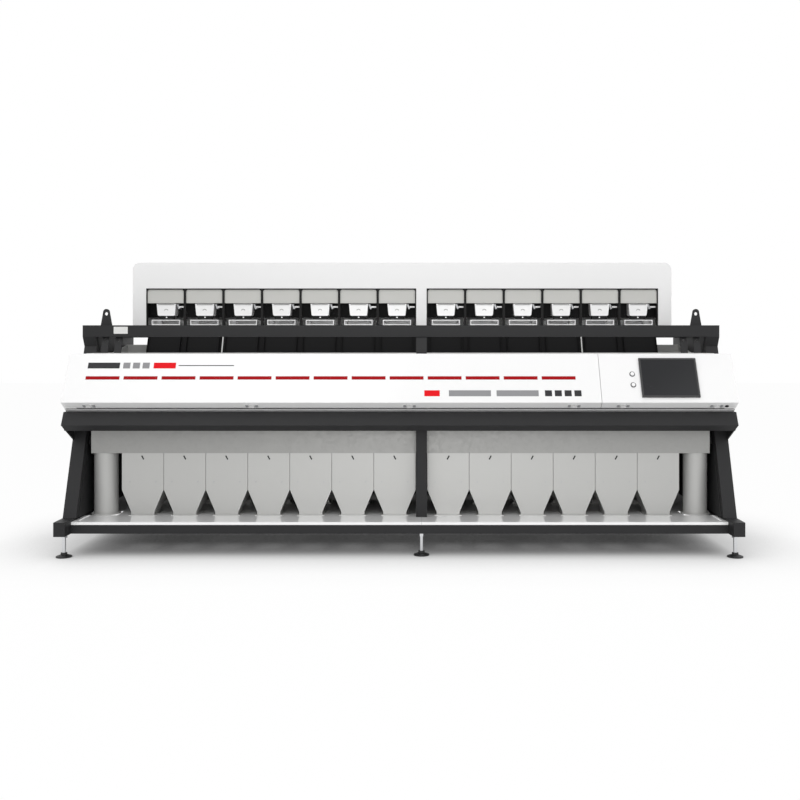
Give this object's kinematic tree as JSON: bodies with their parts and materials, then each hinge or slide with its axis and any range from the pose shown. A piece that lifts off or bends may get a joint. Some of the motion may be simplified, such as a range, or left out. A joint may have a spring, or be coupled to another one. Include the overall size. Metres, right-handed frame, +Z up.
{
  "type": "optical colour sorter",
  "caption": "Long free-standing chute sorter with a feeder bank under a hood, sloping front covers with a touchscreen, tapering outlet spouts and levelling feet.",
  "frame": {"origin": "on the floor under the middle of the machine", "axes": "+X to the right along the bank of chutes, -Y to the front with the covers, +Z up"},
  "size_m": [4.854, 1.55, 2.16],
  "materials": {
    "frame_paint": "satin",
    "deck_white": "gloss",
    "galvanised": "matt",
    "spout_steel": "satin",
    "column_steel": "satin",
    "chute_black": "gloss",
    "panel_grey": "satin",
    "cover_white": "gloss",
    "rod_steel": "satin",
    "window_glass": "clear",
    "lamp_white": "gloss",
    "camera_black": "matt",
    "valve_aluminium": "satin",
    "hood_white": "satin",
    "bay_black": "matt",
    "bay_grey": "satin",
    "hopper_dark": "satin",
    "feeder_white": "gloss",
    "drive_grey": "matt",
    "bezel_black": "matt",
    "screen_black": "gloss",
    "button_white": "gloss",
    "lock_dark": "satin",
    "latch_white": "gloss",
    "foot_chrome": "polished",
    "tray_white": "gloss"
  },
  "bodies": {
    "stand": {"runners": "frame_paint", "crossbeams": "frame_paint", "left_side_frame": "frame_paint", "right_side_frame": "frame_paint", "centre_frame": "frame_paint", "front_channel": "frame_paint", "upper_beam": "frame_paint", "lugs_and_stays": "frame_paint", "platform_decks": "deck_white", "collector_box": "galvanised", "outlet_spouts": "spout_steel", "reject_spouts": "spout_steel", "dust_columns": "column_steel", "chutes": "chute_black", "optical_box": "panel_grey", "front_sill": "cover_white", "hinge_rods": "rod_steel", "optical_windows": "window_glass", "light_bars": "lamp_white", "cameras": "camera_black", "ejector_bank": "valve_aluminium", "hood_fascia": "hood_white", "hood_panels": "hood_white", "bay_frames": "bay_black", "bay_panels": "bay_grey", "feed_hopper": "hopper_dark", "feeder_boxes": "feeder_white", "feeder_drives": "drive_grey"},
    "main_cover": {"main_cover": "cover_white"},
    "control_cover": {"control_cover": "cover_white", "screen_bezel": "bezel_black", "screen_glass": "screen_black"},
    "on_button": {"on_button": "button_white"},
    "off_button": {"off_button": "button_white"},
    "key_lock": {"key_lock": "lock_dark"},
    "latch_1": {"latch_1": "latch_white"},
    "latch_2": {"latch_2": "latch_white"},
    "latch_3": {"latch_3": "latch_white"},
    "latch_4": {"latch_4": "latch_white"},
    "latch_5": {"latch_5": "latch_white"},
    "latch_6": {"latch_6": "latch_white"},
    "foot_1": {"foot_1": "foot_chrome"},
    "foot_2": {"foot_2": "foot_chrome"},
    "foot_3": {"foot_3": "foot_chrome"},
    "foot_4": {"foot_4": "foot_chrome"},
    "foot_5": {"foot_5": "foot_chrome"},
    "foot_6": {"foot_6": "foot_chrome"},
    "tray_1": {"tray_1": "tray_white"},
    "tray_2": {"tray_2": "tray_white"},
    "tray_3": {"tray_3": "tray_white"},
    "tray_4": {"tray_4": "tray_white"},
    "tray_5": {"tray_5": "tray_white"},
    "tray_6": {"tray_6": "tray_white"},
    "tray_7": {"tray_7": "tray_white"},
    "tray_8": {"tray_8": "tray_white"},
    "tray_9": {"tray_9": "tray_white"},
    "tray_10": {"tray_10": "tray_white"},
    "tray_11": {"tray_11": "tray_white"},
    "tray_12": {"tray_12": "tray_white"},
    "tray_13": {"tray_13": "tray_white"}
  },
  "joints": [
    {"name": "main_cover_hinge", "type": "hinge", "parent": "stand", "child": "main_cover", "pos_m": [0, -0.44, 1.426], "axis": [-1, 0, 0], "range_deg": [0, 80]},
    {"name": "control_cover_hinge", "type": "hinge", "parent": "stand", "child": "control_cover", "pos_m": [0, -0.44, 1.426], "axis": [-1, 0, 0], "range_deg": [0, 80]},
    {"name": "on_button_push", "type": "slide", "parent": "control_cover", "child": "on_button", "axis": [0, 0.896, -0.4441], "range_m": [0, 0.004], "stiffness_N_per_m": 400, "springref_m": -0.002},
    {"name": "off_button_push", "type": "slide", "parent": "control_cover", "child": "off_button", "axis": [0, 0.896, -0.4441], "range_m": [0, 0.004], "stiffness_N_per_m": 400, "springref_m": -0.002},
    {"name": "key_turn", "type": "hinge", "parent": "control_cover", "child": "key_lock", "pos_m": [2.335, -0.6145, 1.0638], "axis": [0, 0.5255, 0.8508], "range_deg": [0, 90]},
    {"name": "latch_1_turn", "type": "hinge", "parent": "main_cover", "child": "latch_1", "pos_m": [-2.218, -0.6145, 1.0638], "axis": [0, 0.5255, 0.8508], "range_deg": [0, 90]},
    {"name": "latch_2_turn", "type": "hinge", "parent": "main_cover", "child": "latch_2", "pos_m": [-1.056, -0.6145, 1.0638], "axis": [0, 0.5255, 0.8508], "range_deg": [0, 90]},
    {"name": "latch_3_turn", "type": "hinge", "parent": "main_cover", "child": "latch_3", "pos_m": [0.07, -0.6145, 1.0638], "axis": [0, 0.5255, 0.8508], "range_deg": [0, 90]},
    {"name": "latch_4_turn", "type": "hinge", "parent": "main_cover", "child": "latch_4", "pos_m": [1.244, -0.6145, 1.0638], "axis": [0, 0.5255, 0.8508], "range_deg": [0, 90]},
    {"name": "latch_5_turn", "type": "hinge", "parent": "control_cover", "child": "latch_5", "pos_m": [1.594, -0.6145, 1.0638], "axis": [0, 0.5255, 0.8508], "range_deg": [0, 90]},
    {"name": "latch_6_turn", "type": "hinge", "parent": "control_cover", "child": "latch_6", "pos_m": [2.261, -0.6145, 1.0638], "axis": [0, 0.5255, 0.8508], "range_deg": [0, 90]},
    {"name": "foot_1_turn", "type": "hinge", "parent": "stand", "child": "foot_1", "pos_m": [-2.372, -0.68, 0.1], "axis": [0, 0, 1], "continuous": true},
    {"name": "foot_2_turn", "type": "hinge", "parent": "stand", "child": "foot_2", "pos_m": [2.372, -0.68, 0.1], "axis": [0, 0, 1], "continuous": true},
    {"name": "foot_3_turn", "type": "hinge", "parent": "stand", "child": "foot_3", "pos_m": [-2.372, 0.68, 0.1], "axis": [0, 0, 1], "continuous": true},
    {"name": "foot_4_turn", "type": "hinge", "parent": "stand", "child": "foot_4", "pos_m": [2.372, 0.68, 0.1], "axis": [0, 0, 1], "continuous": true},
    {"name": "foot_5_turn", "type": "hinge", "parent": "stand", "child": "foot_5", "pos_m": [0.155, -0.617, 0.1], "axis": [0, 0, 1], "continuous": true},
    {"name": "foot_6_turn", "type": "hinge", "parent": "stand", "child": "foot_6", "pos_m": [0.155, 0.617, 0.1], "axis": [0, 0, 1], "continuous": true},
    {"name": "tray_1_shake", "type": "slide", "parent": "stand", "child": "tray_1", "axis": [0, 1, 0], "range_m": [-0.001, 0.001], "stiffness_N_per_m": 50000},
    {"name": "tray_2_shake", "type": "slide", "parent": "stand", "child": "tray_2", "axis": [0, 1, 0], "range_m": [-0.001, 0.001], "stiffness_N_per_m": 50000},
    {"name": "tray_3_shake", "type": "slide", "parent": "stand", "child": "tray_3", "axis": [0, 1, 0], "range_m": [-0.001, 0.001], "stiffness_N_per_m": 50000},
    {"name": "tray_4_shake", "type": "slide", "parent": "stand", "child": "tray_4", "axis": [0, 1, 0], "range_m": [-0.001, 0.001], "stiffness_N_per_m": 50000},
    {"name": "tray_5_shake", "type": "slide", "parent": "stand", "child": "tray_5", "axis": [0, 1, 0], "range_m": [-0.001, 0.001], "stiffness_N_per_m": 50000},
    {"name": "tray_6_shake", "type": "slide", "parent": "stand", "child": "tray_6", "axis": [0, 1, 0], "range_m": [-0.001, 0.001], "stiffness_N_per_m": 50000},
    {"name": "tray_7_shake", "type": "slide", "parent": "stand", "child": "tray_7", "axis": [0, 1, 0], "range_m": [-0.001, 0.001], "stiffness_N_per_m": 50000},
    {"name": "tray_8_shake", "type": "slide", "parent": "stand", "child": "tray_8", "axis": [0, 1, 0], "range_m": [-0.001, 0.001], "stiffness_N_per_m": 50000},
    {"name": "tray_9_shake", "type": "slide", "parent": "stand", "child": "tray_9", "axis": [0, 1, 0], "range_m": [-0.001, 0.001], "stiffness_N_per_m": 50000},
    {"name": "tray_10_shake", "type": "slide", "parent": "stand", "child": "tray_10", "axis": [0, 1, 0], "range_m": [-0.001, 0.001], "stiffness_N_per_m": 50000},
    {"name": "tray_11_shake", "type": "slide", "parent": "stand", "child": "tray_11", "axis": [0, 1, 0], "range_m": [-0.001, 0.001], "stiffness_N_per_m": 50000},
    {"name": "tray_12_shake", "type": "slide", "parent": "stand", "child": "tray_12", "axis": [0, 1, 0], "range_m": [-0.001, 0.001], "stiffness_N_per_m": 50000},
    {"name": "tray_13_shake", "type": "slide", "parent": "stand", "child": "tray_13", "axis": [0, 1, 0], "range_m": [-0.001, 0.001], "stiffness_N_per_m": 50000}
  ],
  "couplings": [
    {"joint": "tray_2_shake", "follows": "tray_1_shake", "ratio": 1},
    {"joint": "tray_3_shake", "follows": "tray_1_shake", "ratio": 1},
    {"joint": "tray_4_shake", "follows": "tray_1_shake", "ratio": 1},
    {"joint": "tray_5_shake", "follows": "tray_1_shake", "ratio": 1},
    {"joint": "tray_6_shake", "follows": "tray_1_shake", "ratio": 1},
    {"joint": "tray_7_shake", "follows": "tray_1_shake", "ratio": 1},
    {"joint": "tray_8_shake", "follows": "tray_1_shake", "ratio": 1},
    {"joint": "tray_9_shake", "follows": "tray_1_shake", "ratio": 1},
    {"joint": "tray_10_shake", "follows": "tray_1_shake", "ratio": 1},
    {"joint": "tray_11_shake", "follows": "tray_1_shake", "ratio": 1},
    {"joint": "tray_12_shake", "follows": "tray_1_shake", "ratio": 1},
    {"joint": "tray_13_shake", "follows": "tray_1_shake", "ratio": 1}
  ]
}
